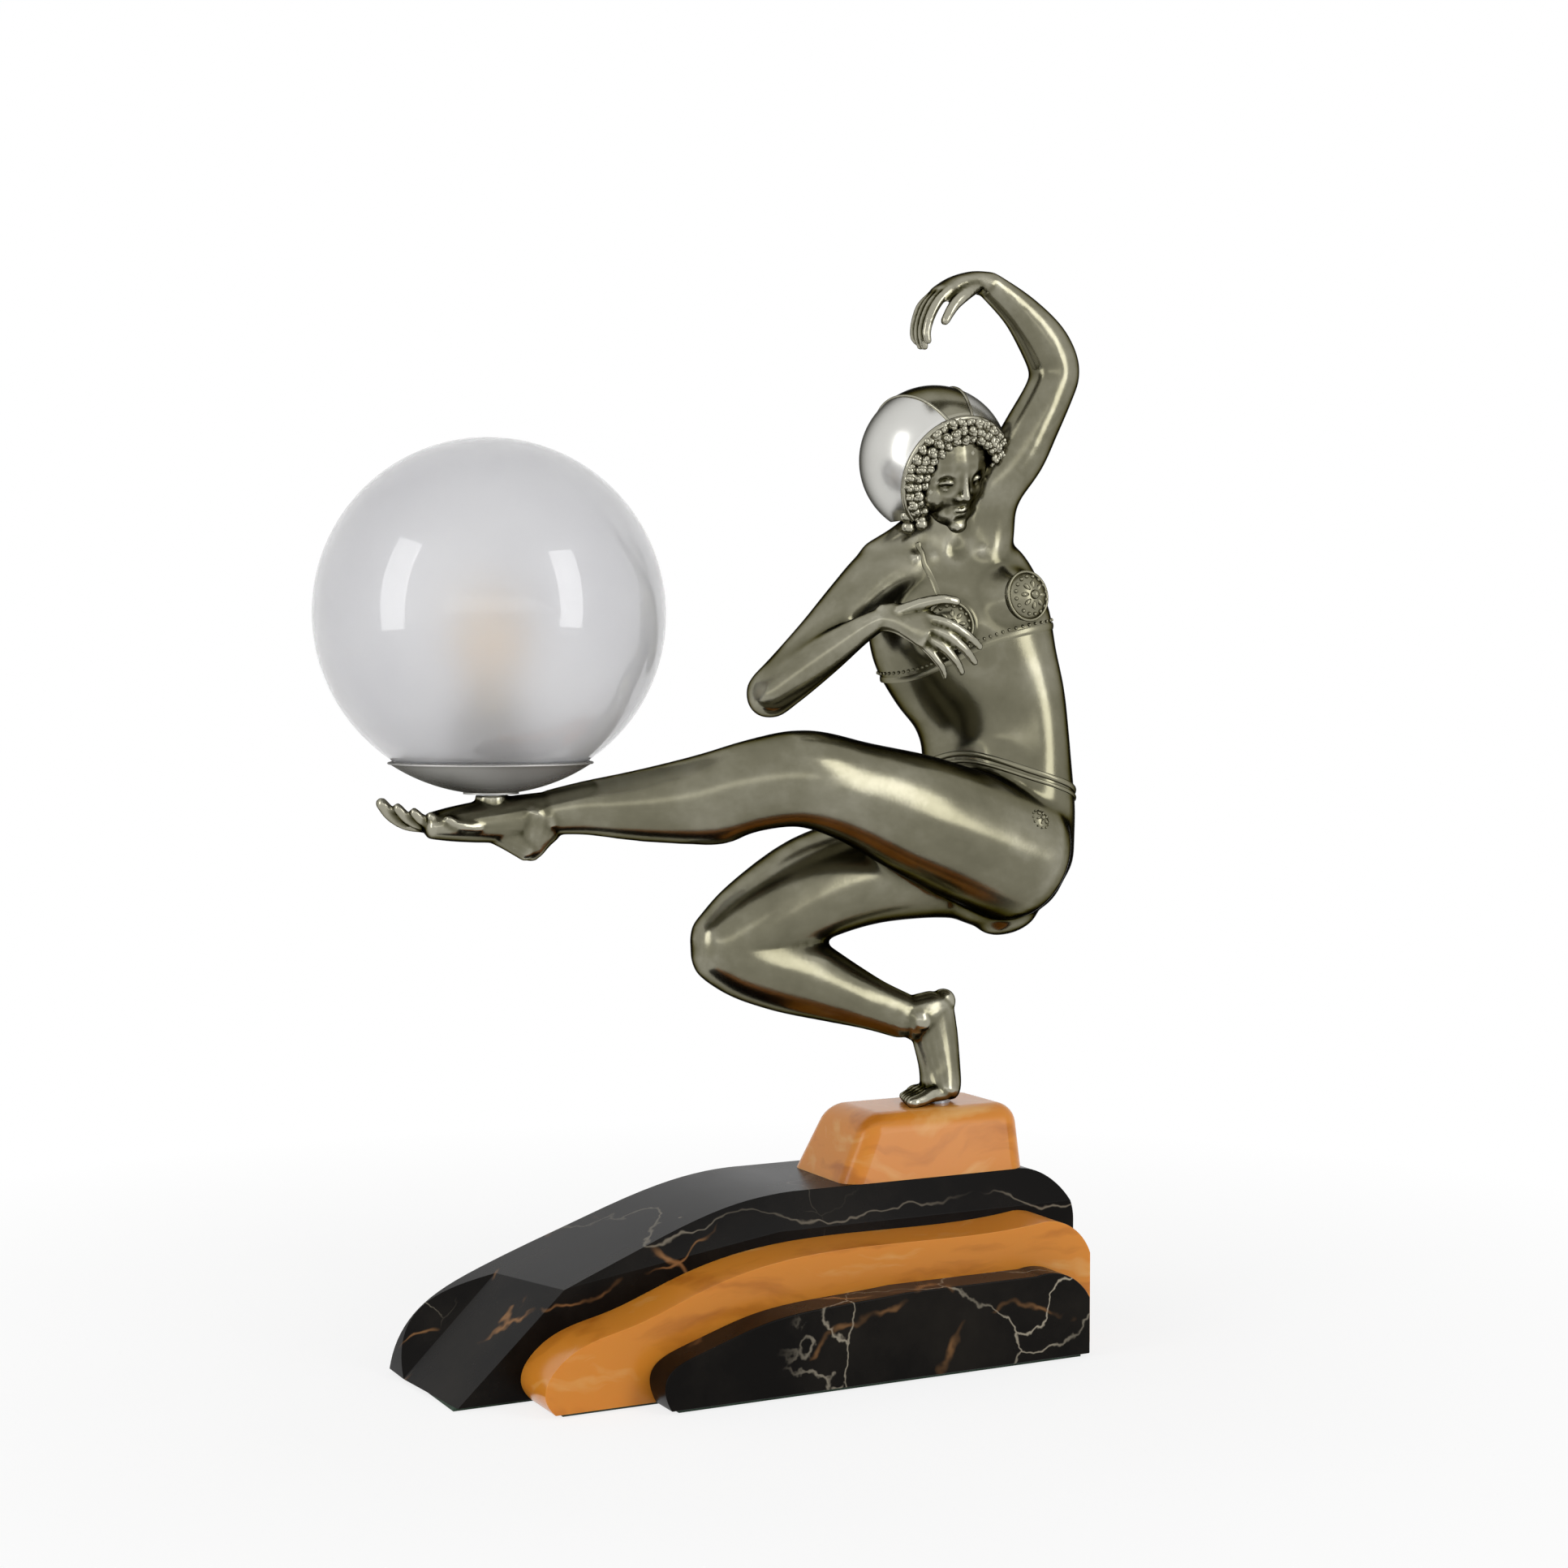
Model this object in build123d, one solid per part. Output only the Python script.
from build123d import *
import math
import os

# Figural table lamp: a cast metal dancer crouches on tiptoe on a stepped stone base
# and carries a frosted glass globe on the instep of the raised foot.
# Millimetres, +Z up, +X along the base towards the upright figure, +Y away from the viewer.
# The origin is on the table, under the middle of the base.
# "left" and "right" are the figure's own: the left leg is raised, the right leg stands.

# ---------------------------------------------------------------- driving dimensions
FELT_THICKNESS = 1.0
FELT_INSET = 3.0

# three stone slabs, stood side by side along Y, from the back one to the front one
BACK_SLAB_REAR = 47.0
BACK_SLAB_THICKNESS = 58.0
BACK_SLAB_LEFT = -113.0
BACK_SLAB_RIGHT = 130.0
BACK_SLAB_HEIGHT = 60.0
BACK_SLAB_END_RADIUS = 19.0
NOSE_BAND = 13.0
BEVEL_DROP = 12.0
BEVEL_WIDTH = 7.0
ONYX_SLAB_THICKNESS = 22.0
ONYX_SLAB_LEFT = -87.0
ONYX_SLAB_RIGHT = 122.8
ONYX_SLAB_HEIGHT = 46.5
FRONT_SLAB_THICKNESS = 13.0
FRONT_SLAB_LEFT = -50.5
FRONT_SLAB_RIGHT = 114.2
FRONT_SLAB_HEIGHT = 30.8

# plinth block that the figure stands on
PLINTH_LENGTH = 75.5
PLINTH_OFFSET = -1.25
PLINTH_WIDTH = 44.0
PLINTH_HEIGHT = 23.5
PLINTH_LEFT_TAPER = 11.5
PLINTH_FRONT_TAPER = 3.0
PLINTH_RIGHT_TAPER = 1.5
PLINTH_CENTRE_X = 78.0
PLINTH_CENTRE_Y = 18.0
PLINTH_EDGE_RADIUS = 6.5

# recess under the plinth, with the wiring and the stud's nut in it; left and right of the middle
RECESS_LEFT_RUN = 38.0
RECESS_RIGHT_RUN = 32.0
RECESS_WIDTH = 34.0
RECESS_DEPTH = 24.0

# steel pins through the slabs; the skin is the stone left beyond each end of a pin
DOWEL_RADIUS = 3.0
DOWEL_SKIN = 3.0
DOWEL_PLACES = (5.0, 95.0)
DOWEL_HEIGHT = 15.0
DOWEL_CLEARANCE = 0.1

# cable entry in the back of the slab
BUSH_BORE_RADIUS = 3.3
BUSH_BODY_RADIUS = 5.0
BUSH_FLANGE_RADIUS = 7.5
BUSH_FLANGE_THICKNESS = 2.0
BUSH_OFFSET = -18.0
BUSH_HEIGHT = 11.0

# hollow M10 stud that clamps foot, plinth and slab together
THREAD_RADIUS = 5.0
TUBE_BORE_RADIUS = 3.2
STUD_REACH_IN_FOOT = 11.0
STUD_TAIL = 8.0
WASHER_RADIUS = 11.0
WASHER_THICKNESS = 1.6
NUT_ACROSS_FLATS = 14.0
NUT_HEIGHT = 3.5
EARTH_TAG_THICKNESS = 0.8

# lead inside the casting
LEAD_RADIUS = 1.8
LEAD_BORE_RADIUS = 2.6
LEAD_LARGEST_BEND = 14.0
LEAD_BELOW_STUD = 6.5
LEAD_CROSSES_HIPS_AT = (43, 6, 96.5)

# terminal block in the recess
BLOCK_LENGTH = 18.0
BLOCK_WIDTH = 17.0
BLOCK_HEIGHT = 17.0
BLOCK_OFFSET = -24.0
TERMINAL_SCREW_RADIUS = 1.6
TERMINAL_SCREW_HEIGHT = 2.2
TERMINAL_SCREW_INSET = 0.3
TERMINAL_ROW_PITCH = 8.0
TERMINAL_COLUMN_PITCH = 10.0

# glass globe and its gallery dish, whose boss stands on the instep of the raised foot;
# the offsets and the rise are measured from the middle of the plinth's top
BOSS_OFFSET_X = -159.5
BOSS_OFFSET_Y = 10.9
BOSS_RISE = 116.55
GLOBE_RADIUS = 60.0
GLOBE_WALL = 2.6
GLOBE_HOLE_RADIUS = 18.0
SEAT_GAP = 0.8
SEAT_CLEARANCE = 0.3
SEAT_INNER_RADIUS = 24.0
SEAT_OUTER_RADIUS = 30.0
DISH_WALL = 1.0
DISH_RADIUS = 34.5
DISH_LIP = 1.5
DISH_FLOOR_RADIUS = 9.5
DISH_FLOOR_THICKNESS = 1.2
BOSS_RADIUS = 6.8
BOSS_HEIGHT = 6.0
NIPPLE_LIFT = 1.0

# E14 lampholder
HOLDER_RADIUS = 12.5
HOLDER_WALL = 1.2
HOLDER_CAP_FLOOR_THICKNESS = 3.7
HOLDER_CAP_HEIGHT = 8.0
HOLDER_SLEEVE_HEIGHT = 17.0
HOLDER_ENTRY_RADIUS = 7.0
CORE_RADIUS = 10.8
CORE_THICKNESS = 5.0
SHELL_WALL = 0.5
SHELL_HEIGHT = 15.0
CAP_CLEARANCE = 0.08
CONTACT_RADIUS = 2.2
CONTACT_HEIGHT = 1.5

# E14 bulb
CAP_RADIUS = 6.95
CAP_WALL = 0.5
CAP_HEIGHT = 15.0
TIP_RADIUS = 2.4
TIP_HEIGHT = 1.5
BULB_RADIUS = 13.0
BULB_GLASS_HEIGHT = 39.0
BULB_WALL = 0.8
BULB_GLASS_OVERLAP = 3.0
STEM_RADIUS = 2.0
STEM_HEIGHT = 13.0
FILAMENT_RADIUS = 0.4
FILAMENT_REACH = 5.0
FILAMENT_RISE = 12.0

# cast figure: wall of the hollow castings
CAST_WALL = 3.0
RIGHT_BALL_RADIUS = 7.5
RIGHT_BALL_RISE = 6.8
HEAD_HALF_SIZES = (27, 26, 27.5)

# pose of the figure: (x, y, z) of each joint from the middle of the plinth's top
FOOT_STANDS_AT = (10, -1)
RIGHT_ANKLE_AT = (4, 0, 32.5)
RIGHT_KNEE_AT = (-69, 12, 61)
RIGHT_HIP_AT = (22, 13, 90.5)
LEFT_HIP_AT = (33, -12, 92.5)
LEFT_KNEE_AT = (-57.5, -20, 120)
LEFT_ANKLE_AT = (-140, 8.5, 110)
LEFT_BALL_AT = (-177, 12, 109)
LEFT_TOE_AT = (-195.5, 13, 114.3)
NECK_BASE_AT = (13.5, -0.5, 204.5)
HEAD_CENTRE_AT = (7.5, -1, 235.3)
RIGHT_SHOULDER_AT = (-4, 9, 193.5)
RIGHT_ELBOW_AT = (-53, 12, 151)
RIGHT_WRIST_AT = (-16, -10, 178.5)
RIGHT_FINGERTIP_AT = (8, -25, 165.5)
LEFT_SHOULDER_AT = (32, -10, 208.5)
LEFT_ELBOW_AT = (48, -21, 264)
LEFT_WRIST_AT = (18, -20, 297.5)
LEFT_FINGERTIP_AT = (-7, -19, 276.5)

# ---------------------------------------------------------------- places worked out from them
BACK_SLAB_FRONT = BACK_SLAB_REAR - BACK_SLAB_THICKNESS
ONYX_SLAB_FRONT = BACK_SLAB_FRONT - ONYX_SLAB_THICKNESS
FRONT_SLAB_FRONT = ONYX_SLAB_FRONT - FRONT_SLAB_THICKNESS
PLINTH_TOP = BACK_SLAB_HEIGHT + PLINTH_HEIGHT
RECESS_TOP = FELT_THICKNESS + RECESS_DEPTH
RECESS_LEFT = PLINTH_CENTRE_X - RECESS_LEFT_RUN
RECESS_RIGHT = PLINTH_CENTRE_X + RECESS_RIGHT_RUN
RECESS_CENTRE_Y = PLINTH_CENTRE_Y
RECESS_FRONT = RECESS_CENTRE_Y - RECESS_WIDTH / 2
RECESS_REAR = RECESS_CENTRE_Y + RECESS_WIDTH / 2
BUSH_X = PLINTH_CENTRE_X + BUSH_OFFSET
BLOCK_X = PLINTH_CENTRE_X + BLOCK_OFFSET
FOOT_CENTRE = (PLINTH_CENTRE_X + FOOT_STANDS_AT[0], PLINTH_CENTRE_Y + FOOT_STANDS_AT[1])
RIGHT_BALL = Vector(FOOT_CENTRE[0], FOOT_CENTRE[1], PLINTH_TOP + RIGHT_BALL_RISE)
BOSS_AXIS = (PLINTH_CENTRE_X + BOSS_OFFSET_X, PLINTH_CENTRE_Y + BOSS_OFFSET_Y)
NUT_CORNER_RADIUS = NUT_ACROSS_FLATS / math.sqrt(3)
DISH_INNER_RADIUS = GLOBE_RADIUS + SEAT_GAP
DISH_OUTER_RADIUS = DISH_INNER_RADIUS + DISH_WALL


def on_plinth(place):
    """A point given from the middle of the plinth's top, in the lamp's frame."""
    return Vector(PLINTH_CENTRE_X + place[0], PLINTH_CENTRE_Y + place[1], PLINTH_TOP + place[2])


def drop(sphere_radius, across):
    """How far below the globe's centre a concentric sphere lies at a radius across."""
    return math.sqrt(sphere_radius**2 - across**2)


RIGHT_ANKLE = on_plinth(RIGHT_ANKLE_AT)
RIGHT_KNEE = on_plinth(RIGHT_KNEE_AT)
RIGHT_HIP = on_plinth(RIGHT_HIP_AT)
LEFT_HIP = on_plinth(LEFT_HIP_AT)
LEFT_KNEE = on_plinth(LEFT_KNEE_AT)
LEFT_ANKLE = on_plinth(LEFT_ANKLE_AT)
LEFT_BALL = on_plinth(LEFT_BALL_AT)
LEFT_TOE = on_plinth(LEFT_TOE_AT)
NECK_BASE = on_plinth(NECK_BASE_AT)
HEAD_CENTRE = on_plinth(HEAD_CENTRE_AT)
RIGHT_SHOULDER = on_plinth(RIGHT_SHOULDER_AT)
RIGHT_ELBOW = on_plinth(RIGHT_ELBOW_AT)
RIGHT_WRIST = on_plinth(RIGHT_WRIST_AT)
RIGHT_FINGERTIP = on_plinth(RIGHT_FINGERTIP_AT)
LEFT_SHOULDER = on_plinth(LEFT_SHOULDER_AT)
LEFT_ELBOW = on_plinth(LEFT_ELBOW_AT)
LEFT_WRIST = on_plinth(LEFT_WRIST_AT)
LEFT_FINGERTIP = on_plinth(LEFT_FINGERTIP_AT)
BOSS_TOP = PLINTH_TOP + BOSS_RISE
DISH_FLOOR_TOP = BOSS_TOP + DISH_FLOOR_THICKNESS
GLOBE_CENTRE_Z = DISH_FLOOR_TOP + drop(DISH_INNER_RADIUS, DISH_FLOOR_RADIUS)
HOLDER_BASE = DISH_FLOOR_TOP + NUT_HEIGHT
HOLDER_CAP_FLOOR = HOLDER_BASE + HOLDER_CAP_FLOOR_THICKNESS
CORE_BASE = HOLDER_BASE + HOLDER_CAP_HEIGHT - CORE_THICKNESS / 2
SHELL_BASE = CORE_BASE + CORE_THICKNESS
TIP_BASE = SHELL_BASE + CONTACT_HEIGHT
CAP_BASE = TIP_BASE + TIP_HEIGHT
CAP_TOP = CAP_BASE + CAP_HEIGHT
BULB_TOP = CAP_TOP + BULB_GLASS_HEIGHT
STEM_BASE = CAP_TOP - BULB_GLASS_OVERLAP + BULB_WALL
NIPPLE_BASE = BOSS_TOP - BOSS_HEIGHT + NIPPLE_LIFT
LEAD_ENTRY_HEIGHT = RECESS_TOP - STUD_TAIL - LEAD_BELOW_STUD
CUT_SPAN = 400.0


# ---------------------------------------------------------------- small helpers
def rod(radius, bottom, top, centre=(0, 0)):
    """Upright cylinder between two heights."""
    place = Pos(centre[0], centre[1], (bottom + top) / 2)
    return place * Cylinder(radius, top - bottom)


def tube(outer, inner, bottom, top, centre=(0, 0)):
    return rod(outer, bottom, top, centre) - rod(inner, bottom - 1, top + 1, centre)


def hex_nut(bottom, centre):
    across = RegularPolygon(NUT_CORNER_RADIUS, 6)
    body = extrude(Pos(centre[0], centre[1], bottom) * across, NUT_HEIGHT)
    return body - rod(THREAD_RADIUS, bottom - 1, bottom + NUT_HEIGHT + 1, centre)


def spun(points, centre=(0, 0), height=0.0):
    """Solid of revolution about a vertical axis, from a closed (radius, height) outline."""
    outline = Polyline(*[(radius, 0, z) for radius, z in points], close=True)
    return Pos(centre[0], centre[1], height) * revolve(make_face(outline), Axis.Z)


def limb(start, end, stations):
    """Swelling limb with domed ends, spun about the line from start to end.

    stations are (share of the length, radius), from 0 to 1.
    """
    span = end - start
    low = stations[0][1]
    high = stations[-1][1]
    length = span.length
    slant = math.sqrt(0.5)
    points = [(radius, 0, share * length) for share, radius in stations]
    edges = [
        ThreePointArc((0, 0, -low), (slant * low, 0, -slant * low), points[0]),
        Spline(*points, tangents=[(0, 0, 1), (0, 0, 1)]),
        ThreePointArc(points[-1], (slant * high, 0, length + slant * high), (0, 0, length + high)),
        Line((0, 0, length + high), (0, 0, -low)),
    ]
    return Plane(origin=start, z_dir=span) * revolve(make_face(edges), Axis.Z)


def hollow_limb(start, end, stations):
    """Limb with a cast cavity that keeps the casting's wall all round."""
    cavity = [(share, radius - CAST_WALL) for share, radius in stations]
    return limb(start, end, stations) - limb(start, end, cavity)


def trunk(sections, shrink=0.0):
    """Loft through level ellipses of the trunk, each drawn in by shrink."""
    rings = []
    for z, x, y, half_width, half_depth, turn in sections:
        level = Plane(origin=on_plinth((x, y, z))).rotated((0, 0, turn - 90))
        rings.append(level * Ellipse(half_depth - shrink, half_width - shrink))
    return loft(rings)


def slab(outline, front, thickness):
    """Upright slab: an outline in (X, Z), given thickness along +Y from its front face."""
    front_plane = Plane(origin=(0, front, 0), x_dir=(1, 0, 0), z_dir=(0, -1, 0))
    return extrude(front_plane * make_face(outline), -thickness)


def above(first, second, third):
    """Large block on the upper side of the sloping plane through three points."""
    up = (second - first).cross(third - first)
    plane = Plane(origin=first, x_dir=second - first, z_dir=up)
    return plane * Pos(0, 0, CUT_SPAN / 2) * Box(2 * CUT_SPAN, 2 * CUT_SPAN, CUT_SPAN)


def main_solid(shape):
    """The body of a cut limb, without the loose skins that a cut can leave."""
    return max(shape.solids(), key=lambda solid: solid.volume)


# ---------------------------------------------------------------- stone base
# outlines from the left end: (run from the end, share of the slab's height)
BACK_RAMP = [(10.8, 0.35), (31.7, 0.54), (66.7, 0.75), (108.7, 0.96), (135, 1)]
ONYX_RAMP = [(0, 0.19), (8, 0.42), (30, 0.58), (56.5, 0.78), (78, 0.9), (106, 0.96)]
FRONT_RAMP = [(1.5, 0.42), (14.4, 0.63), (38, 0.86), (70, 0.96), (90, 1)]
# corners of the ground facet on the nose: along the front face, then along the rear band
FACET_FOOT = (4, 0)
FACET_HEAD = (42, 0.61)
FACET_REAR_HEAD = (30, 0.49)
FACET_REAR_FOOT = (11.2, 0.21)
BAND_EDGE = (10.8, 0.36)
BEVEL_END_RUN = 122.0
ONYX_FOOT_RUN = 3.6
FRONT_FOOT_RUN = 2.5


def back_slab():
    base = FELT_THICKNESS
    height = BACK_SLAB_HEIGHT
    left = BACK_SLAB_LEFT
    right = BACK_SLAB_RIGHT
    front = BACK_SLAB_FRONT
    ramp = [(left + run, share * height) for run, share in BACK_RAMP]
    end_start = (right - BACK_SLAB_END_RADIUS, height)
    end_stop = (right, height - BACK_SLAB_END_RADIUS)
    outline = [
        Spline((left, base), *ramp),
        Line(ramp[-1], end_start),
        RadiusArc(end_start, end_stop, BACK_SLAB_END_RADIUS),
        Line(end_stop, (right, base)),
        Line((right, base), (left, base)),
    ]
    solid = slab(outline, front, BACK_SLAB_THICKNESS)

    def on_nose(corner, depth):
        return Vector(left + corner[0], depth, max(base, corner[1] * height))

    # ground facet on the nose; a band along the rear stays proud of it
    band_front = BACK_SLAB_REAR - NOSE_BAND
    facet_head = on_nose(FACET_HEAD, front)
    rear_head = on_nose(FACET_REAR_HEAD, band_front)
    facet = above(on_nose(FACET_FOOT, front), facet_head, rear_head)
    band_edge = on_nose(BAND_EDGE, BACK_SLAB_REAR)
    band = above(rear_head, band_edge, on_nose(FACET_REAR_FOOT, band_front))
    solid -= facet & band
    # bevel along the front of the ramp, then along the front of the flat top
    bevel_low = Vector(left + BEVEL_END_RUN, front, height - BEVEL_DROP)
    bevel_high = Vector(left + BEVEL_END_RUN, front + BEVEL_WIDTH, height - 0.5)
    solid -= above(facet_head, bevel_low, bevel_high)
    solid -= above(bevel_low, bevel_low + Vector(1, 0, 0), bevel_high)
    recess = Box(RECESS_RIGHT - RECESS_LEFT, RECESS_WIDTH, 2 * RECESS_DEPTH)
    recess_middle = (RECESS_LEFT + RECESS_RIGHT) / 2
    solid -= Pos(recess_middle, RECESS_CENTRE_Y, RECESS_TOP - RECESS_DEPTH) * recess
    solid -= rod(THREAD_RADIUS, RECESS_TOP - 1, height + 1, FOOT_CENTRE)
    bush_hole = Cylinder(BUSH_BODY_RADIUS, BACK_SLAB_REAR - RECESS_CENTRE_Y)
    bush_middle = (BACK_SLAB_REAR + RECESS_CENTRE_Y) / 2
    solid -= Pos(BUSH_X, bush_middle, BUSH_HEIGHT) * Rot(90, 0) * bush_hole
    return solid - dowels(DOWEL_CLEARANCE)


def onyx_slab():
    base = FELT_THICKNESS
    height = ONYX_SLAB_HEIGHT
    left = ONYX_SLAB_LEFT
    right = ONYX_SLAB_RIGHT
    foot = (left + ONYX_FOOT_RUN, base)
    ramp = [(left + run, share * height) for run, share in ONYX_RAMP]
    shoulder = (right - 19, height)
    corner = (right, 0.72 * height)
    outline = [
        Spline(foot, *ramp, shoulder),
        ThreePointArc(shoulder, (right - 7, 0.92 * height), corner),
        Line(corner, (right, base)),
        Line((right, base), foot),
    ]
    return slab(outline, ONYX_SLAB_FRONT, ONYX_SLAB_THICKNESS) - dowels(DOWEL_CLEARANCE)


def front_slab():
    base = FELT_THICKNESS
    height = FRONT_SLAB_HEIGHT
    left = FRONT_SLAB_LEFT
    right = FRONT_SLAB_RIGHT
    foot = (left + FRONT_FOOT_RUN, base)
    ramp = [(left + run, share * height) for run, share in FRONT_RAMP]
    flat_end = (right - 22, height)
    corner = (right, 0.68 * height)
    outline = [
        Spline(foot, *ramp),
        Line(ramp[-1], flat_end),
        ThreePointArc(flat_end, (right - 6, 0.9 * height), corner),
        Line(corner, (right, base)),
        Line((right, base), foot),
    ]
    return slab(outline, FRONT_SLAB_FRONT, FRONT_SLAB_THICKNESS) - dowels(DOWEL_CLEARANCE)


def dowels(clearance=0.0):
    """Steel pins through the onyx slab into blind holes in its two neighbours."""
    front = FRONT_SLAB_FRONT + DOWEL_SKIN
    rear = RECESS_FRONT - DOWEL_SKIN
    pins = Part()
    for x in DOWEL_PLACES:
        pin = Cylinder(DOWEL_RADIUS + clearance, rear - front + 2 * clearance)
        pins += Pos(x, (front + rear) / 2, DOWEL_HEIGHT) * Rot(90, 0, 0) * pin
    return pins


def plinth():
    low = BACK_SLAB_HEIGHT
    bottom_x = PLINTH_CENTRE_X + PLINTH_OFFSET
    bottom = Pos(bottom_x, PLINTH_CENTRE_Y, low) * Rectangle(PLINTH_LENGTH, PLINTH_WIDTH)
    top_length = PLINTH_LENGTH - PLINTH_LEFT_TAPER - PLINTH_RIGHT_TAPER
    top_x = bottom_x + (PLINTH_LEFT_TAPER - PLINTH_RIGHT_TAPER) / 2
    top_width = PLINTH_WIDTH - 2 * PLINTH_FRONT_TAPER
    top = Pos(top_x, PLINTH_CENTRE_Y, PLINTH_TOP) * Rectangle(top_length, top_width)
    block = loft([bottom, top], ruled=True)
    edges = block.edges().filter_by(lambda edge: edge.center().Z > low + 1)
    block = fillet(edges, PLINTH_EDGE_RADIUS)
    return block - rod(THREAD_RADIUS, low - 1, PLINTH_TOP + 1, FOOT_CENTRE)


def base_felt():
    """One felt sheet under each slab; the back one closes the recess."""
    rows = [
        (BACK_SLAB_LEFT, BACK_SLAB_RIGHT, BACK_SLAB_FRONT, BACK_SLAB_REAR),
        (ONYX_SLAB_LEFT + ONYX_FOOT_RUN, ONYX_SLAB_RIGHT, ONYX_SLAB_FRONT, BACK_SLAB_FRONT),
        (FRONT_SLAB_LEFT + FRONT_FOOT_RUN, FRONT_SLAB_RIGHT, FRONT_SLAB_FRONT, ONYX_SLAB_FRONT),
    ]
    sheets = Part()
    for left, right, front, rear in rows:
        length = right - left - 2 * FELT_INSET
        width = rear - front - FELT_INSET
        sheet = Box(length, width, FELT_THICKNESS)
        sheets += Pos((left + right) / 2, (front + rear) / 2, FELT_THICKNESS / 2) * sheet
    return sheets


# ---------------------------------------------------------------- wiring and fixings in the base
def cable_bush():
    flange = Cylinder(BUSH_FLANGE_RADIUS, BUSH_FLANGE_THICKNESS)
    wall = BACK_SLAB_REAR - RECESS_REAR
    body = Cylinder(BUSH_BODY_RADIUS, wall)
    bore = Cylinder(BUSH_BORE_RADIUS, wall + 3 * BUSH_FLANGE_THICKNESS)
    shape = Pos(0, 0, wall / 2) * body
    shape += Pos(0, 0, wall + BUSH_FLANGE_THICKNESS / 2) * flange
    shape -= Pos(0, 0, wall / 2) * bore
    return Pos(BUSH_X, BACK_SLAB_REAR - wall, BUSH_HEIGHT) * Rot(-90, 0, 0) * shape


def foot_stud():
    bottom = RECESS_TOP - STUD_TAIL
    return tube(THREAD_RADIUS, TUBE_BORE_RADIUS, bottom, PLINTH_TOP + STUD_REACH_IN_FOOT, FOOT_CENTRE)


def stud_washer():
    return tube(WASHER_RADIUS, THREAD_RADIUS, RECESS_TOP - WASHER_THICKNESS, RECESS_TOP, FOOT_CENTRE)


def earth_tag():
    top = RECESS_TOP - WASHER_THICKNESS
    bottom = top - EARTH_TAG_THICKNESS
    ring = rod(NUT_CORNER_RADIUS, bottom, top, FOOT_CENTRE)
    tongue = Box(14, 4, EARTH_TAG_THICKNESS)
    ring += Pos(FOOT_CENTRE[0] + 10, FOOT_CENTRE[1], (bottom + top) / 2) * tongue
    return ring - rod(THREAD_RADIUS, bottom - 1, top + 1, FOOT_CENTRE)


def stud_nut():
    return hex_nut(RECESS_TOP - WASHER_THICKNESS - EARTH_TAG_THICKNESS - NUT_HEIGHT, FOOT_CENTRE)


def terminal_places():
    return [
        (column * TERMINAL_COLUMN_PITCH / 2, row * TERMINAL_ROW_PITCH / 2)
        for row in (-1, 1)
        for column in (-1, 1)
    ]


def terminal_block():
    body = Box(BLOCK_LENGTH, BLOCK_WIDTH, BLOCK_HEIGHT)
    for x, y in terminal_places():
        hole = Cylinder(TERMINAL_SCREW_RADIUS + 0.1, 2 * (TERMINAL_SCREW_INSET + TERMINAL_SCREW_HEIGHT))
        body -= Pos(x, y, -BLOCK_HEIGHT / 2) * hole
    return Pos(BLOCK_X, RECESS_CENTRE_Y, RECESS_TOP - BLOCK_HEIGHT / 2) * body


def terminal_screws():
    screws = Part()
    low = RECESS_TOP - BLOCK_HEIGHT + TERMINAL_SCREW_INSET
    for x, y in terminal_places():
        place = (BLOCK_X + x, RECESS_CENTRE_Y + y)
        screws += rod(TERMINAL_SCREW_RADIUS, low, low + TERMINAL_SCREW_HEIGHT, place)
    return screws


def lead_path():
    """Route of the lead from the terminal block through both legs to the lampholder."""
    block_face = BLOCK_X + BLOCK_LENGTH / 2
    instep = Vector(BOSS_AXIS[0], BOSS_AXIS[1], LEFT_ANKLE.Z - 3.5)
    points = [
        Vector(block_face, FOOT_CENTRE[1], LEAD_ENTRY_HEIGHT),
        Vector(FOOT_CENTRE[0], FOOT_CENTRE[1], LEAD_ENTRY_HEIGHT),
        RIGHT_BALL + Vector(0, 0, 5),
        RIGHT_ANKLE + Vector(0.5, 0, -1.5),
        RIGHT_KNEE + Vector(4, -1, -6.5),
        RIGHT_KNEE + Vector(1, 0.5, 5.5),
        RIGHT_HIP + Vector(0, 0, -1),
        on_plinth(LEAD_CROSSES_HIPS_AT),
        LEFT_HIP + Vector(1, 2, 11),
        LEFT_KNEE + Vector(1, 1, -0.5),
        LEFT_ANKLE + Vector(2, 0, -4),
        instep,
        Vector(instep.X, instep.Y, CORE_BASE),
    ]
    radii = []
    for before, corner, after in zip(points, points[1:], points[2:]):
        turn = (corner - before).get_angle(after - corner)
        run = min((corner - before).length, (after - corner).length)
        fitting = 0.45 * run / math.tan(math.radians(turn) / 2)
        radii.append(min(fitting, LEAD_LARGEST_BEND))
    radii[0] = RECESS_TOP - STUD_TAIL - LEAD_ENTRY_HEIGHT - 0.5
    radii[-1] = NIPPLE_BASE - instep.Z - 0.5
    print("lead bends", [round(radius, 1) for radius in radii])
    return FilletPolyline(*points, radius=radii)


def lead_tube(radius):
    path = lead_path()
    section = Plane(origin=path @ 0, z_dir=path % 0) * Circle(radius)
    return sweep(section, path=path)


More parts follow.
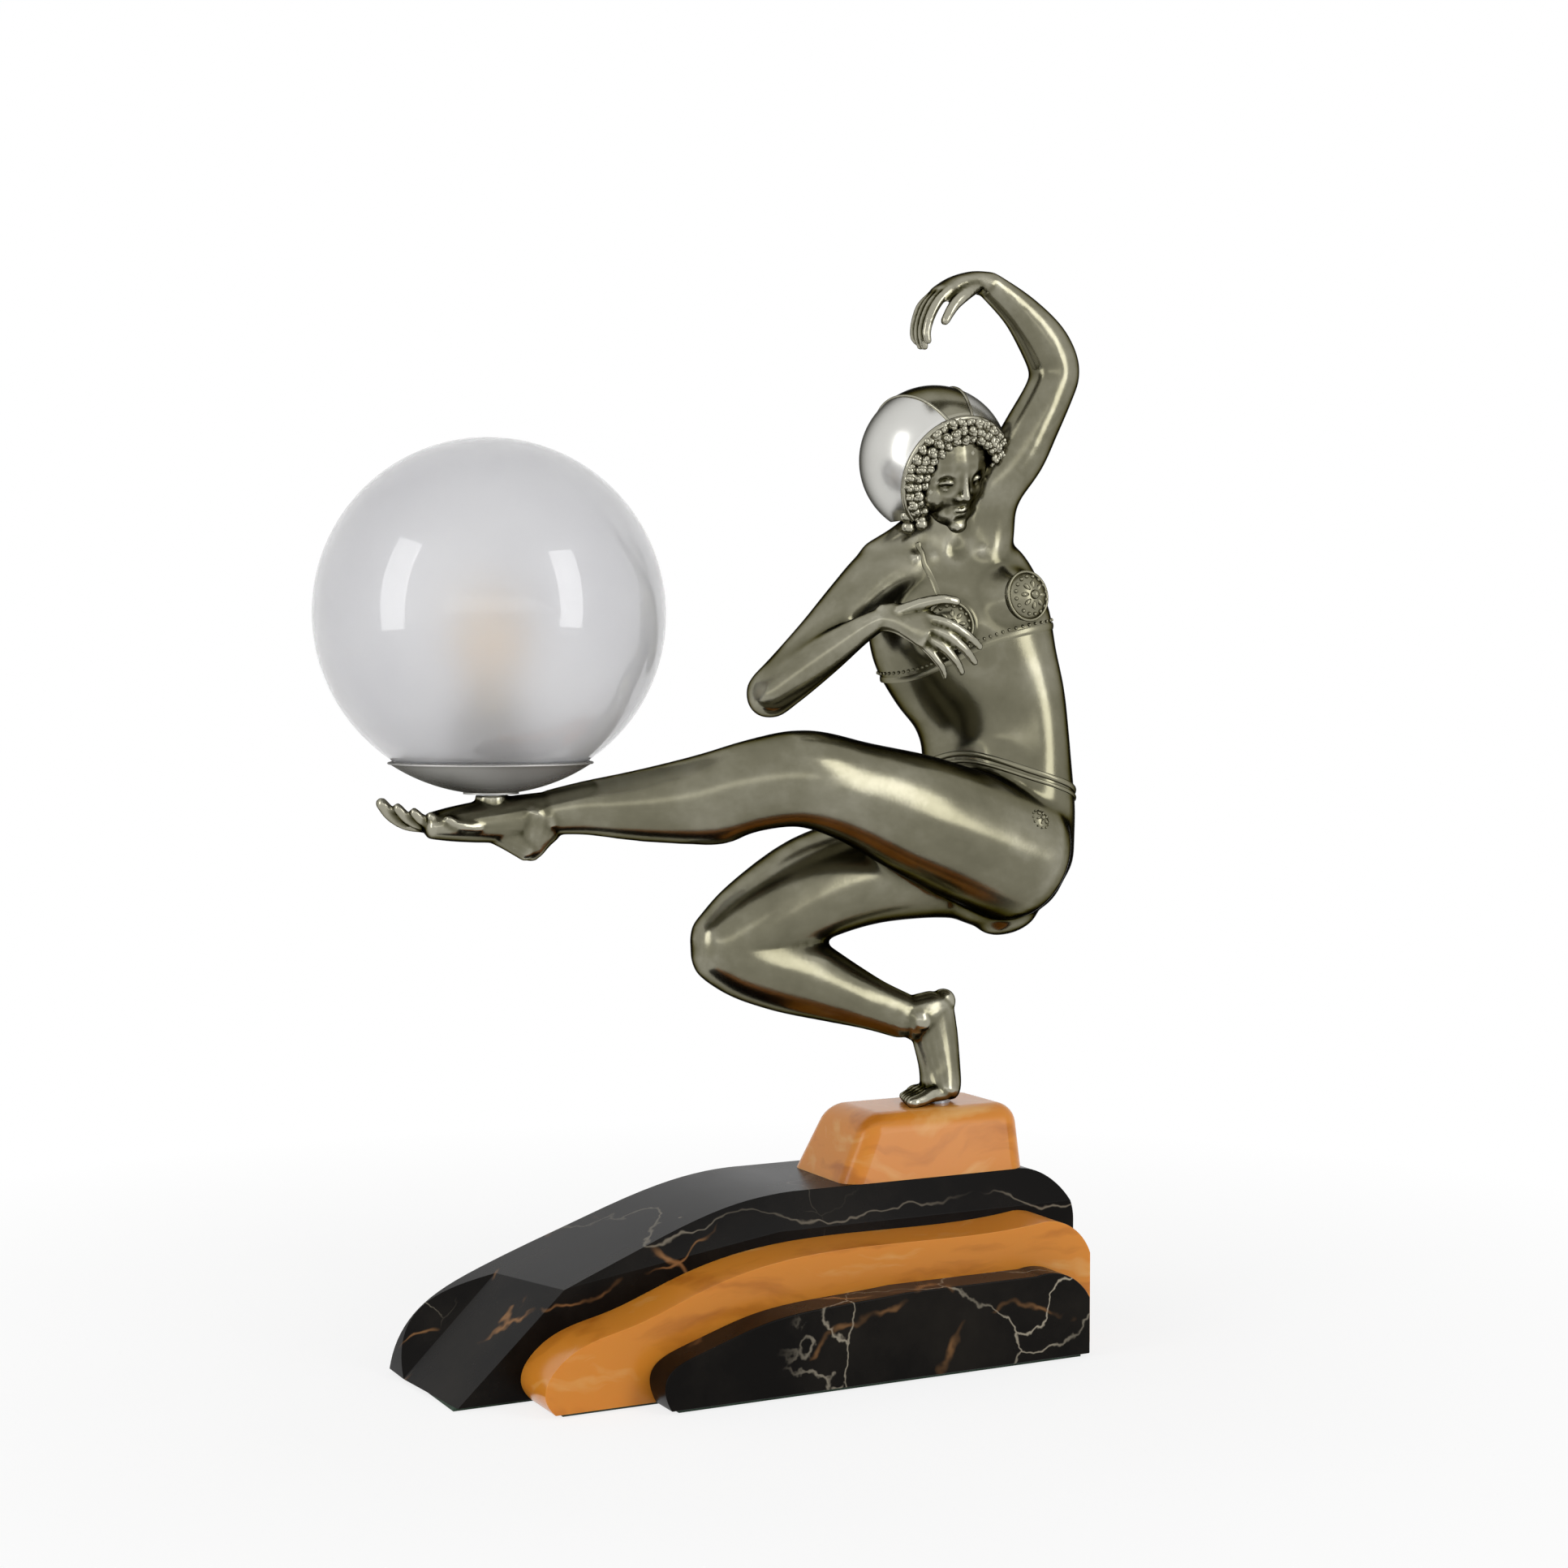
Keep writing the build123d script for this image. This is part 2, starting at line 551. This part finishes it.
# ---------------------------------------------------------------- cast figure
# level ellipses up the trunk, from the middle of the plinth's top:
# (height, centre x, centre y, half width, half depth, turn of the width from +Y in degrees)
HIP_SECTIONS = [
    (63.5, 38, -4, 13, 11, 113),
    (74.5, 36, -1, 25, 19, 113),
    (88.5, 34, 0, 30, 24, 113),
    (102.5, 35, 0, 29.5, 23, 115),
    (116.5, 36, 0, 29, 20, 119),
]
TORSO_SECTIONS = [
    (116.5, 36, 0, 29, 20, 119),
    (135.5, 34.5, 0, 30, 19.5, 127),
    (154.5, 26, 0.5, 34, 21.5, 140),
    (172.5, 20.5, 1, 36, 22, 150),
    (190.5, 18.5, 0.5, 30, 17.5, 158),
    (204.5, 14, 0, 17, 12, 162),
]
# limbs: (share of the length, radius)
THIGH = [(0, 24), (0.35, 23), (0.75, 18.5), (1, 16.5)]
STANDING_THIGH = [(0, 22), (0.4, 20.5), (0.75, 17.5), (1, 15)]
SHIN = [(0, 15.5), (0.35, 14), (0.7, 10.5), (1, 8.2)]
STANDING_SHIN = [(0, 13.8), (0.35, 13), (0.75, 10.5), (1, 8.8)]
UPPER_ARM = [(0, 11.5), (0.4, 10), (1, 8.6)]
FOREARM = [(0, 8.2), (0.3, 8.8), (1, 5.2)]
HAND = [(0, 4.6), (0.45, 6), (1, 2.5)]


def figure_hips(lead_bore):
    """Hollow casting, closed under the seat and open to the chest at the belt."""
    return trunk(HIP_SECTIONS) - trunk(HIP_SECTIONS[1:], CAST_WALL) - lead_bore


def figure_torso():
    """Hollow casting, closed at the shoulders."""
    return trunk(TORSO_SECTIONS) - trunk(TORSO_SECTIONS[:-1], CAST_WALL)


def figure_head():
    neck = limb(NECK_BASE, HEAD_CENTRE, [(0, 12.5), (0.5, 12), (1, 14)])
    skull = Pos(*HEAD_CENTRE) * scale(Sphere(1), by=HEAD_HALF_SIZES)
    return main_solid(neck + skull - trunk(TORSO_SECTIONS))


def raised_arm(chest, head):
    """Left arm, curved up beside the head: upper arm, forearm and drooping hand."""
    upper = limb(LEFT_SHOULDER, LEFT_ELBOW, UPPER_ARM) - chest - head
    forearm = limb(LEFT_ELBOW, LEFT_WRIST, FOREARM) - upper
    hand = limb(LEFT_WRIST, LEFT_FINGERTIP, HAND) - forearm
    return main_solid(upper), main_solid(forearm), main_solid(hand)


def bent_arm(chest, head):
    """Right arm, folded so that the hand lies on the breast."""
    upper = limb(RIGHT_SHOULDER, RIGHT_ELBOW, UPPER_ARM) - chest - head
    forearm = limb(RIGHT_ELBOW, RIGHT_WRIST, FOREARM) - upper - chest
    hand = limb(RIGHT_WRIST, RIGHT_FINGERTIP, HAND) - forearm - chest
    return main_solid(upper), main_solid(forearm), main_solid(hand)


def raised_leg(lead_bore):
    """Left leg, held out level: thigh, shin, and foot with the boss for the globe's gallery."""
    body = trunk(HIP_SECTIONS) + trunk(TORSO_SECTIONS)
    whole_thigh = limb(LEFT_HIP, LEFT_KNEE, THIGH)
    thigh = hollow_limb(LEFT_HIP, LEFT_KNEE, THIGH) - body - lead_bore
    shin = limb(LEFT_KNEE, LEFT_ANKLE, SHIN)
    foot = limb(LEFT_ANKLE, LEFT_BALL, [(0, 6.4), (0.5, 6.9), (1, 6)])
    foot += limb(LEFT_BALL, LEFT_TOE, [(0, 5.5), (1, 2.5)])
    heel = LEFT_ANKLE + Vector(-6, 0, -9)
    foot += limb(LEFT_ANKLE + Vector(-4, 0, -1), heel, [(0, 7.5), (1, 4.5)])
    foot += rod(BOSS_RADIUS, BOSS_TOP - BOSS_HEIGHT, BOSS_TOP, BOSS_AXIS)
    foot = foot - shin - lead_bore
    foot -= rod(THREAD_RADIUS, NIPPLE_BASE, BOSS_TOP + 1, BOSS_AXIS)
    shin = shin - whole_thigh - lead_bore
    return main_solid(thigh), main_solid(shin), main_solid(foot)


def standing_leg(lead_bore):
    """Right leg, folded under the body: thigh, shin and the foot on tiptoe."""
    body = trunk(HIP_SECTIONS) + limb(LEFT_HIP, LEFT_KNEE, THIGH)
    whole_thigh = limb(RIGHT_HIP, RIGHT_KNEE, STANDING_THIGH)
    thigh = hollow_limb(RIGHT_HIP, RIGHT_KNEE, STANDING_THIGH) - body - lead_bore
    shin = limb(RIGHT_KNEE, RIGHT_ANKLE, STANDING_SHIN)
    foot = limb(RIGHT_ANKLE, RIGHT_BALL, [(0, 7.5), (0.5, 8), (1, RIGHT_BALL_RADIUS)])
    toe = RIGHT_BALL + Vector(-8, 0, -4)
    foot += limb(RIGHT_BALL + Vector(0, 0, -2.5), toe, [(0, 5), (1, 3)])
    heel = RIGHT_ANKLE + Vector(9.5, 0, 5.5)
    foot += limb(RIGHT_ANKLE + Vector(2, 0, 1), heel, [(0, 6.5), (1, 4.5)])
    foot = foot - shin - lead_bore
    foot -= rod(THREAD_RADIUS, PLINTH_TOP - 1, PLINTH_TOP + STUD_REACH_IN_FOOT, FOOT_CENTRE)
    foot -= rod(PLINTH_WIDTH, BACK_SLAB_HEIGHT, PLINTH_TOP, FOOT_CENTRE)
    shin = shin - whole_thigh - lead_bore
    return main_solid(thigh), main_solid(shin), main_solid(foot)


# ---------------------------------------------------------------- gallery, lampholder and bulb
def holder_nipple():
    return tube(THREAD_RADIUS, TUBE_BORE_RADIUS, NIPPLE_BASE, HOLDER_CAP_FLOOR, BOSS_AXIS)


def gallery_dish():
    """Shallow cup that follows the globe, with a small turned-out lip and a flat floor."""
    rim_inner = GLOBE_CENTRE_Z - drop(DISH_INNER_RADIUS, DISH_RADIUS)
    rim_outer = GLOBE_CENTRE_Z - drop(DISH_OUTER_RADIUS, DISH_RADIUS)
    middle = 0.6 * DISH_RADIUS
    middle_inner = GLOBE_CENTRE_Z - drop(DISH_INNER_RADIUS, middle)
    middle_outer = GLOBE_CENTRE_Z - drop(DISH_OUTER_RADIUS, middle)
    floor_outer = GLOBE_CENTRE_Z - drop(DISH_OUTER_RADIUS, DISH_FLOOR_RADIUS)
    inner = ThreePointArc(
        (DISH_FLOOR_RADIUS, 0, DISH_FLOOR_TOP),
        (middle, 0, middle_inner),
        (DISH_RADIUS, 0, rim_inner),
    )
    outer = ThreePointArc(
        (DISH_FLOOR_RADIUS, 0, floor_outer),
        (middle, 0, middle_outer),
        (DISH_RADIUS, 0, rim_outer),
    )
    edges = [
        inner,
        Line((DISH_RADIUS, 0, rim_inner), (DISH_RADIUS + DISH_LIP, 0, rim_inner)),
        Line((DISH_RADIUS + DISH_LIP, 0, rim_inner), (DISH_RADIUS + DISH_LIP, 0, rim_outer)),
        Line((DISH_RADIUS + DISH_LIP, 0, rim_outer), (DISH_RADIUS, 0, rim_outer)),
        outer,
        Line((DISH_FLOOR_RADIUS, 0, floor_outer), (DISH_FLOOR_RADIUS, 0, BOSS_TOP)),
        Line((DISH_FLOOR_RADIUS, 0, BOSS_TOP), (THREAD_RADIUS, 0, BOSS_TOP)),
        Line((THREAD_RADIUS, 0, BOSS_TOP), (THREAD_RADIUS, 0, DISH_FLOOR_TOP)),
        Line((THREAD_RADIUS, 0, DISH_FLOOR_TOP), (DISH_FLOOR_RADIUS, 0, DISH_FLOOR_TOP)),
    ]
    return Pos(BOSS_AXIS[0], BOSS_AXIS[1], 0) * revolve(make_face(edges), Axis.Z)


def seat_ring():
    """Clear rubber band on the dish that the globe rests on."""
    centre = Pos(BOSS_AXIS[0], BOSS_AXIS[1], GLOBE_CENTRE_Z)
    shell = Sphere(DISH_INNER_RADIUS) - Sphere(GLOBE_RADIUS + SEAT_CLEARANCE)
    low = tube(SEAT_OUTER_RADIUS, SEAT_INNER_RADIUS, -2 * GLOBE_RADIUS, 0)
    return centre * (shell & low)


def gallery_nut():
    return hex_nut(DISH_FLOOR_TOP, BOSS_AXIS)


def holder_cap():
    """Lower half of the lampholder, threaded on the nipple."""
    outline = [
        (THREAD_RADIUS, HOLDER_BASE),
        (HOLDER_ENTRY_RADIUS + 1, HOLDER_BASE),
        (HOLDER_RADIUS, HOLDER_BASE + 4),
        (HOLDER_RADIUS, HOLDER_BASE + HOLDER_CAP_HEIGHT),
        (CORE_RADIUS, HOLDER_BASE + HOLDER_CAP_HEIGHT),
        (CORE_RADIUS, CORE_BASE),
        (HOLDER_ENTRY_RADIUS, HOLDER_CAP_FLOOR),
        (THREAD_RADIUS, HOLDER_CAP_FLOOR),
    ]
    return spun(outline, BOSS_AXIS)


def holder_core():
    """Ceramic disc that carries the contacts."""
    disc = rod(CORE_RADIUS, CORE_BASE, SHELL_BASE, BOSS_AXIS)
    return disc - rod(LEAD_RADIUS, CORE_BASE - 1, CORE_BASE, BOSS_AXIS)


def holder_sleeve():
    low = HOLDER_BASE + HOLDER_CAP_HEIGHT
    top = low + HOLDER_SLEEVE_HEIGHT
    mouth = CAP_RADIUS + CAP_CLEARANCE + SHELL_WALL
    outline = [
        (CORE_RADIUS, low),
        (HOLDER_RADIUS, low),
        (HOLDER_RADIUS, top),
        (mouth, top),
        (mouth, top - HOLDER_WALL),
        (CORE_RADIUS, top - HOLDER_WALL),
    ]
    return spun(outline, BOSS_AXIS)


def screw_shell():
    inner = CAP_RADIUS + CAP_CLEARANCE
    return tube(inner + SHELL_WALL, inner, SHELL_BASE, SHELL_BASE + SHELL_HEIGHT, BOSS_AXIS)


def centre_contact():
    return rod(CONTACT_RADIUS, SHELL_BASE, TIP_BASE, BOSS_AXIS)


def bulb_tip():
    return rod(TIP_RADIUS, TIP_BASE, CAP_BASE, BOSS_AXIS)


def bulb_cap():
    cup = rod(CAP_RADIUS, CAP_BASE, CAP_TOP, BOSS_AXIS)
    return cup - rod(CAP_RADIUS - CAP_WALL, CAP_BASE + CAP_WALL, CAP_TOP + 1, BOSS_AXIS)


def bulb_skin(shrink):
    """Closed pear outline of the bulb's glass, drawn in by shrink."""
    neck = CAP_RADIUS - CAP_WALL - shrink
    wide = BULB_RADIUS - shrink
    low = CAP_TOP - BULB_GLASS_OVERLAP + shrink
    top = BULB_TOP - shrink
    shoulder = CAP_TOP + 4
    belly = BULB_TOP - BULB_RADIUS
    skin = Spline(
        (neck, 0, shoulder - 3),
        (neck + 0.35 * (wide - neck), 0, shoulder + 3),
        (wide, 0, belly),
        (0, 0, top),
        tangents=[(0, 0, 1), (-1, 0, 0)],
    )
    edges = [
        skin,
        Line((neck, 0, low), (neck, 0, shoulder - 3)),
        Line((0, 0, low), (neck, 0, low)),
        Line((0, 0, low), (0, 0, top)),
    ]
    return Pos(BOSS_AXIS[0], BOSS_AXIS[1], 0) * revolve(make_face(edges), Axis.Z)


def bulb_glass():
    return bulb_skin(0) - bulb_skin(BULB_WALL)


def bulb_stem():
    return rod(STEM_RADIUS, STEM_BASE, STEM_BASE + STEM_HEIGHT, BOSS_AXIS)


def bulb_filament():
    """Two support wires with the glowing wire between them."""
    low = STEM_BASE + STEM_HEIGHT
    half = FILAMENT_REACH
    wires = Part()
    for side in (-1, 1):
        wires += rod(FILAMENT_RADIUS, low, low + FILAMENT_RISE, (side * half, 0))
    bar = Rot(0, 90, 0) * Cylinder(FILAMENT_RADIUS, 2 * half)
    wires += Pos(0, 0, low + FILAMENT_RADIUS) * bar + Pos(0, 0, low + FILAMENT_RISE) * bar
    return Pos(BOSS_AXIS[0], BOSS_AXIS[1], 0) * wires


def globe():
    glass = Sphere(GLOBE_RADIUS) - Sphere(GLOBE_RADIUS - GLOBE_WALL)
    glass -= rod(GLOBE_HOLE_RADIUS, -GLOBE_RADIUS - 1, 0)
    return Pos(BOSS_AXIS[0], BOSS_AXIS[1], GLOBE_CENTRE_Z) * glass


# ---------------------------------------------------------------- build and write
def build():
    lead_bore = lead_tube(LEAD_BORE_RADIUS)
    head = figure_head()
    chest = trunk(TORSO_SECTIONS)
    left_upper_arm, left_forearm, left_hand = raised_arm(chest, head)
    right_upper_arm, right_forearm, right_hand = bent_arm(chest, head)
    left_thigh, left_shin, left_foot = raised_leg(lead_bore)
    right_thigh, right_shin, right_foot = standing_leg(lead_bore)
    return {
        "back_slab": back_slab(),
        "onyx_slab": onyx_slab(),
        "front_slab": front_slab(),
        "plinth": plinth(),
        "slab_dowels": dowels(),
        "base_felt": base_felt(),
        "cable_bush": cable_bush(),
        "foot_stud": foot_stud(),
        "stud_washer": stud_washer(),
        "earth_tag": earth_tag(),
        "stud_nut": stud_nut(),
        "terminal_block": terminal_block(),
        "terminal_screws": terminal_screws(),
        "internal_lead": lead_tube(LEAD_RADIUS),
        "figure_hips": figure_hips(lead_bore),
        "figure_torso": figure_torso(),
        "figure_head": head,
        "left_upper_arm": left_upper_arm,
        "left_forearm": left_forearm,
        "left_hand": left_hand,
        "right_upper_arm": right_upper_arm,
        "right_forearm": right_forearm,
        "right_hand": right_hand,
        "left_thigh": left_thigh,
        "left_shin": left_shin,
        "left_foot": left_foot,
        "right_thigh": right_thigh,
        "right_shin": right_shin,
        "right_foot": right_foot,
        "holder_nipple": holder_nipple(),
        "gallery_dish": gallery_dish(),
        "seat_ring": seat_ring(),
        "gallery_nut": gallery_nut(),
        "holder_cap": holder_cap(),
        "holder_core": holder_core(),
        "holder_sleeve": holder_sleeve(),
        "screw_shell": screw_shell(),
        "centre_contact": centre_contact(),
        "bulb_tip": bulb_tip(),
        "bulb_cap": bulb_cap(),
        "bulb_glass": bulb_glass(),
        "bulb_stem": bulb_stem(),
        "bulb_filament": bulb_filament(),
        "globe": globe(),
    }


os.makedirs("parts", exist_ok=True)
for name, shape in build().items():
    export_step(shape, f"parts/{name}.step")
